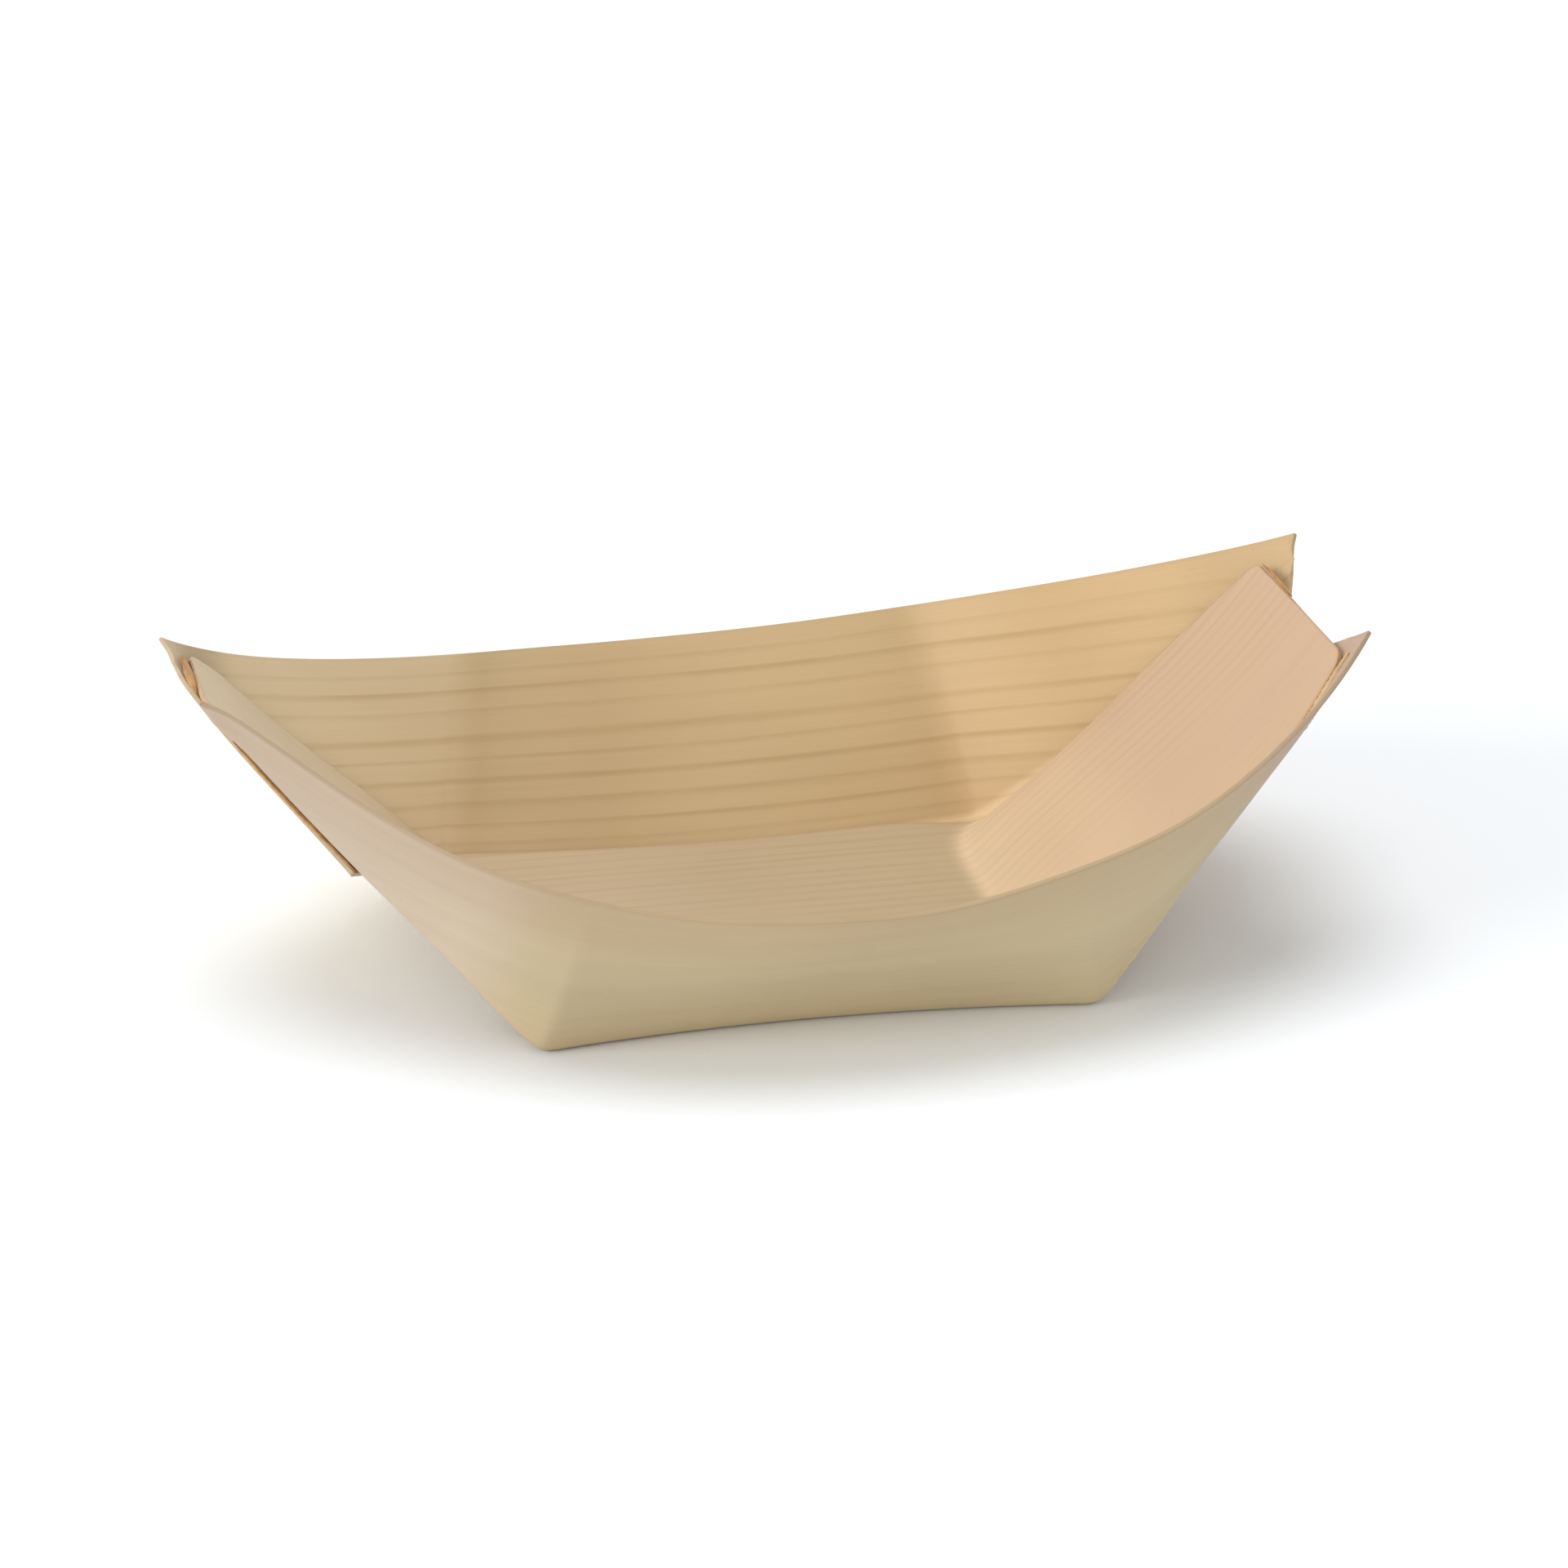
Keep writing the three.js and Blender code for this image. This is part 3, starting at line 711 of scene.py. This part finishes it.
class Nodes:
    """Short calls for building a node tree."""

    def __init__(self, tree):
        self.tree = tree

    def set(self, socket, value):
        """Link a socket to another one, or give it a value."""
        if isinstance(value, bpy.types.NodeSocket):
            self.tree.links.new(value, socket)
        else:
            socket.default_value = value

    def add(self, kind, inputs=(), **settings):
        node = self.tree.nodes.new(kind)
        for key, value in settings.items():
            setattr(node, key, value)
        for key, value in dict(inputs).items():
            self.set(node.inputs[key], value)
        return node

    def math(self, operation, first, second=0.0, clamp=False):
        inputs = {0: first, 1: second}
        return self.add("ShaderNodeMath", inputs, operation=operation, use_clamp=clamp).outputs[0]

    def scaled(self, vector, scale, offset=(0, 0, 0)):
        inputs = {"Vector": vector, "Scale": scale, "Location": offset}
        return self.add("ShaderNodeMapping", inputs).outputs[0]

    def parts(self, vector):
        return self.add("ShaderNodeSeparateXYZ", {0: vector}).outputs

    def noise(self, vector, repeats, detail, rough):
        inputs = {"Vector": self.scaled(vector, repeats), "Scale": 1, "Detail": detail,
                  "Roughness": rough}
        return self.add("ShaderNodeTexNoise", inputs).outputs["Fac"]

    def remap(self, value, low, high, to_low=0, to_high=1, kind="SMOOTHSTEP"):
        inputs = {"Value": value, "From Min": low, "From Max": high, "To Min": to_low,
                  "To Max": to_high}
        return self.add("ShaderNodeMapRange", inputs, interpolation_type=kind).outputs["Result"]

    def blend(self, share, first, second, mode="MIX"):
        node = self.add("ShaderNodeMix", data_type="RGBA", blend_type=mode)
        sockets = {socket.identifier: socket for socket in node.inputs}
        self.set(sockets["Factor_Float"], share)
        self.set(sockets["A_Color"], first)
        self.set(sockets["B_Color"], second)
        return next(out for out in node.outputs if out.identifier == "Result_Color")

    def tinted(self, colour, tint):
        return self.blend(1, colour, tint + (1,), "MULTIPLY")

    def bump(self, height, settings):
        return self.add("ShaderNodeBump", {"Height": height, **settings}).outputs[0]

    def field(self, name, output):
        return self.add("ShaderNodeAttribute", attribute_name=name).outputs[output]


def new_material(name):
    """A material, the calls for its nodes and its shader's inputs."""
    material = bpy.data.materials.new(name)
    material.use_nodes = True
    tree = material.node_tree
    return material, Nodes(tree), tree.nodes["Principled BSDF"].inputs


def linear(code):
    """Linear colour of a hexadecimal sRGB code."""
    def channel(start):
        value = int(code[start:start + 2], 16) / 255
        return value / 12.92 if value <= 0.04045 else ((value + 0.055) / 1.055) ** 2.4
    return (channel(0), channel(2), channel(4), 1)


def growth_rings(nodes, grain, across, ring, band, contrast, drift, side_weight):
    """How much dark late wood shows: rings that sway along the sheet, each of its own strength."""
    sway = nodes.math("MULTIPLY", nodes.noise(grain, *SWAY), drift)
    spread = nodes.math("MULTIPLY", nodes.noise(grain, *SPREAD), RING_SPREAD)
    phase = nodes.math("DIVIDE", nodes.parts(grain)["Y"], ring)
    phase = nodes.math("ADD", nodes.math("ADD", phase, sway), spread)
    within = nodes.math("FRACT", phase)
    start, darkest = band
    late_wood = nodes.math("MULTIPLY", nodes.remap(within, start, darkest),
                           nodes.remap(within, darkest, 1, 1, 0))
    number = {"W": nodes.math("FLOOR", phase)}
    chance = nodes.add("ShaderNodeTexWhiteNoise", number, noise_dimensions="1D").outputs["Value"]
    weight = nodes.math("MULTIPLY", nodes.remap(chance, *RING_WEIGHT, "LINEAR"),
                        nodes.remap(nodes.noise(grain, *PATCHES), *PATCH_WEIGHT))
    weight = nodes.math("MULTIPLY", weight, nodes.remap(across, *SIDE_SPAN, *side_weight))
    return nodes.math("MULTIPLY", late_wood, nodes.math("MULTIPLY", weight, contrast))


def early_wood_and_painted_light(nodes, at, colours_and_painted_light, painted_rim_shade, painted_foot_light):
    """Colour of the pale wood along the sheet, with the painted light and shade of its colour stops,
    painted shade near the rim and painted light near the lower fold.
    """
    colour = linear(colours_and_painted_light[0][1])
    for (before, _), (after, code) in zip(colours_and_painted_light, colours_and_painted_light[1:]):
        colour = nodes.blend(nodes.remap(at["X"], before, after), colour, linear(code))
    for span, tint in ((RIM_SHADE_SPAN, painted_rim_shade), (FOOT_LIGHT_SPAN, painted_foot_light)):
        colour = nodes.blend(nodes.remap(at["Y"], *span), colour, nodes.tinted(colour, tint))
    return colour


def wood_shade(nodes, grain, fibre, fleck):
    """Slight light and dark of fibres, streaks, blotches and flecks, as a colour to multiply by."""
    shade = nodes.remap(fibre, *FIBRE_SHADE, "LINEAR")
    for pattern, effect in ((nodes.noise(grain, *STREAKS), STREAK_SHADE),
                            (nodes.noise(grain, *BLOTCHES), BLOTCH_SHADE), (fleck, FLECK_SHADE)):
        shade = nodes.math("MULTIPLY", shade, nodes.remap(pattern, *effect, "LINEAR"))
    return nodes.add("ShaderNodeCombineColor", {0: shade, 1: shade, 2: shade}).outputs[0]


def veneer(name, colours_and_painted_light, late_tint, ring, band, contrast, drift, seed, side_weight=(1, 1),
           painted_rim_shade=(1, 1, 1), painted_foot_light=(1, 1, 1), cut=("A98A60", 0.1, 0.4)):
    """Sliced pine: growth rings along the sheet, fibres, flecks, blotches and browner cut edges,
    with painted light and shade in some of its colours and cut edges.

    colours_and_painted_light are pairs of a place in mm along the sheet and the wood's colour there,
    left to right; some hold painted light and shade.
    late_tint is the part of it that the dark wood keeps, ring the width of a ring in mm, band the
    shares of a ring where its dark wood starts and is darkest, contrast and drift the strength and
    the sway of the rings, and side_weight their strength at the front and the back edge.
    painted_rim_shade and painted_foot_light are the parts of the colour kept at the rim, as painted
    shade, and at the lower fold, as painted light. cut is the colour of the cut edges with the least
    and the most of it.
    """
    material, nodes, shader = new_material(name)
    flat = nodes.scaled(nodes.field("flat", "Vector"), (1 / MM,) * 3)
    grain = nodes.scaled(flat, (1, 1, 1), [seed * shift for shift in PATTERN_SHIFT])
    at = nodes.parts(flat)
    fibre = nodes.noise(grain, *FIBRES)
    fleck = nodes.remap(nodes.noise(grain, *FLECKS), *FLECK_RANGE)
    late_wood = growth_rings(nodes, grain, at["Y"], ring, band, contrast, drift, side_weight)

    # The pale wood's colour, with the painted light and shade of the colour stops and tints
    early_and_painted_light = early_wood_and_painted_light(nodes, at, colours_and_painted_light, painted_rim_shade, painted_foot_light)
    colour = nodes.blend(late_wood, early_and_painted_light, nodes.tinted(early_and_painted_light, late_tint))
    colour = nodes.blend(1, colour, wood_shade(nodes, grain, fibre, fleck), "MULTIPLY")
    cut_code, least, most = cut
    # Browner cut edges; on the front panel they are also painted shade
    worn_and_painted_shade = nodes.math("MULTIPLY", nodes.field("cut", "Fac"),
                      nodes.remap(fibre, *CUT_RANGE, least, most, "LINEAR"))
    nodes.set(shader["Base Color"], nodes.blend(worn_and_painted_shade, colour, linear(cut_code)))

    grained = nodes.math("ADD", late_wood, fibre)
    nodes.set(shader["Roughness"], nodes.remap(grained, *WOOD_ROUGHNESS, "LINEAR"))
    relief = nodes.math("ADD", nodes.math("MULTIPLY", fibre, FIBRE_RELIEF),
                        nodes.math("MULTIPLY", late_wood, LATE_RELIEF))
    relief = nodes.math("SUBTRACT", relief, nodes.math("MULTIPLY", fleck, FLECK_RELIEF))
    nodes.set(shader["Normal"], nodes.bump(relief, WOOD_BUMP))
    nodes.set(shader["Specular IOR Level"], WOOD_SPECULAR)
    return material


def dried_glue(name, dark, light):
    """Glue with darker and lighter clouds and a skin that shines a little."""
    material, nodes, shader = new_material(name)
    place = nodes.add("ShaderNodeTexCoord").outputs["Object"]
    cloud = nodes.noise(place, *GLUE_CLOUDS)
    colour = nodes.blend(nodes.remap(cloud, *GLUE_RANGE), linear(dark), linear(light))
    nodes.set(shader["Base Color"], colour)
    nodes.set(shader["Roughness"], nodes.remap(cloud, *GLUE_RANGE, *GLUE_ROUGHNESS))
    nodes.set(shader["Normal"], nodes.bump(cloud, GLUE_BUMP))
    return material


# Stage, light and camera

def add_floor():
    material, nodes, shader = new_material("floor_white")
    nodes.set(shader["Base Color"], STAGE_COLOUR)
    nodes.set(shader["Roughness"], STAGE_ROUGHNESS)
    nodes.set(shader["Specular IOR Level"], 0)
    corners = [(x * STAGE_HALF, y * STAGE_HALF, STAGE_LEVEL)
               for x, y in ((-1, -1), (1, -1), (1, 1), (-1, 1))]
    floor = link_mesh("floor", corners, [(0, 1, 2, 3)], material)


def add_light():
    """A plain even world, which is white where the camera sees it, and two soft suns."""
    world = bpy.data.worlds.new("studio")
    bpy.context.scene.world = world
    world.use_nodes = True
    nodes = Nodes(world.node_tree)
    background = world.node_tree.nodes["Background"].inputs
    ray = nodes.add("ShaderNodeLightPath").outputs
    seen = nodes.math("ADD", ray["Is Camera Ray"], ray["Is Glossy Ray"])
    seen = nodes.math("ADD", seen, ray["Is Transmission Ray"], clamp=True)
    levels = {"Factor": seen, "A": AMBIENT, "B": BACKDROP}
    nodes.set(background["Color"], (1, 1, 1, 1))
    nodes.set(background["Strength"], nodes.add("ShaderNodeMix", levels).outputs["Result"])
    for sun in SUNS:
        add_sun(*sun)


def add_sun(name, towards, energy, angle):
    lamp = bpy.data.lights.new(name, "SUN")
    lamp.energy = energy
    lamp.angle = math.radians(angle)
    sun = bpy.data.objects.new(name, lamp)
    sun.rotation_euler = Vector(towards).to_track_quat("Z", "Y").to_euler()
    bpy.context.scene.collection.objects.link(sun)


def add_camera():
    azimuth, elevation, roll = CAMERA_AZIMUTH, CAMERA_ELEVATION, CAMERA_ROLL
    back = Vector((math.sin(azimuth) * math.cos(elevation), -math.cos(azimuth) * math.cos(elevation),
                   math.sin(elevation)))
    level = Vector((math.cos(azimuth), math.sin(azimuth), 0))
    upright = back.cross(level)
    right = level * math.cos(roll) + upright * math.sin(roll)
    up = upright * math.cos(roll) - level * math.sin(roll)
    place = right * CAMERA_AIM_RIGHT + up * CAMERA_AIM_UP + back * CAMERA_DISTANCE
    lens = bpy.data.cameras.new("camera")
    lens.lens = CAMERA_LENS_MM
    lens.sensor_width = CAMERA_SENSOR_MM
    lens.clip_end = CAMERA_SIGHT
    camera = bpy.data.objects.new("camera", lens)
    turn = Matrix((right, up, back)).transposed().to_4x4()
    camera.matrix_world = Matrix.Translation(place) @ turn
    bpy.context.scene.collection.objects.link(camera)
    bpy.context.scene.camera = camera


def main():
    bpy.context.scene.view_settings.view_transform = "Standard"
    add_camera()
    add_light()
    add_floor()
    strip_wood = veneer(
        "strip_veneer", STRIP_COLOURS_AND_PAINTED_LIGHT, late_tint=(0.8, 0.72, 0.62), ring=1.9, band=(0.35, 0.75),
        contrast=0.4, drift=1.2, seed=1, side_weight=(0.1, 1), cut=("A8743A", 0.3, 0.6))
    front_wood = veneer(
        "front_veneer", FRONT_COLOURS, late_tint=(0.85, 0.8, 0.72), ring=5, band=(0.3, 0.8),
        # Painted shade darkens the front panel towards its rim, and painted light lightens it
        # towards its lower fold
        contrast=0.15, drift=1, seed=2, painted_rim_shade=(0.91, 0.85, 0.84), painted_foot_light=(1.13, 1.11, 1.09),
        # The front panel's cut edges are browner wood, made darker still as painted shade on its rim
        # edge
        cut=("A08560", 0.25, 0.5))
    back_wood = veneer(
        "back_veneer", BACK_COLOURS_AND_PAINTED_LIGHT, late_tint=(0.76, 0.69, 0.56), ring=2.9, band=(0.56, 0.86),
        contrast=0.66, drift=0.5, seed=3)
    pieces = (
        (base_strip(strip_wood), "base_strip", "strip_veneer"),
        (front_panel(front_wood), "front_side_panel", "front_veneer"),
        (back_panel(back_wood), "back_side_panel", "back_veneer"))
    for piece, node, slot in pieces:
        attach(piece, "root")
        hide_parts(node)
    glue = dried_glue("dried_glue", "9A6629", "BC8844")
    add_beads(glue, dried_glue("pale_glue", "BC9A6C", "CDAE84"))
    for name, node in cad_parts.items():
        if name.endswith("_glue"):
            node.data.materials.clear()
            node.data.materials.append(glue)


main()
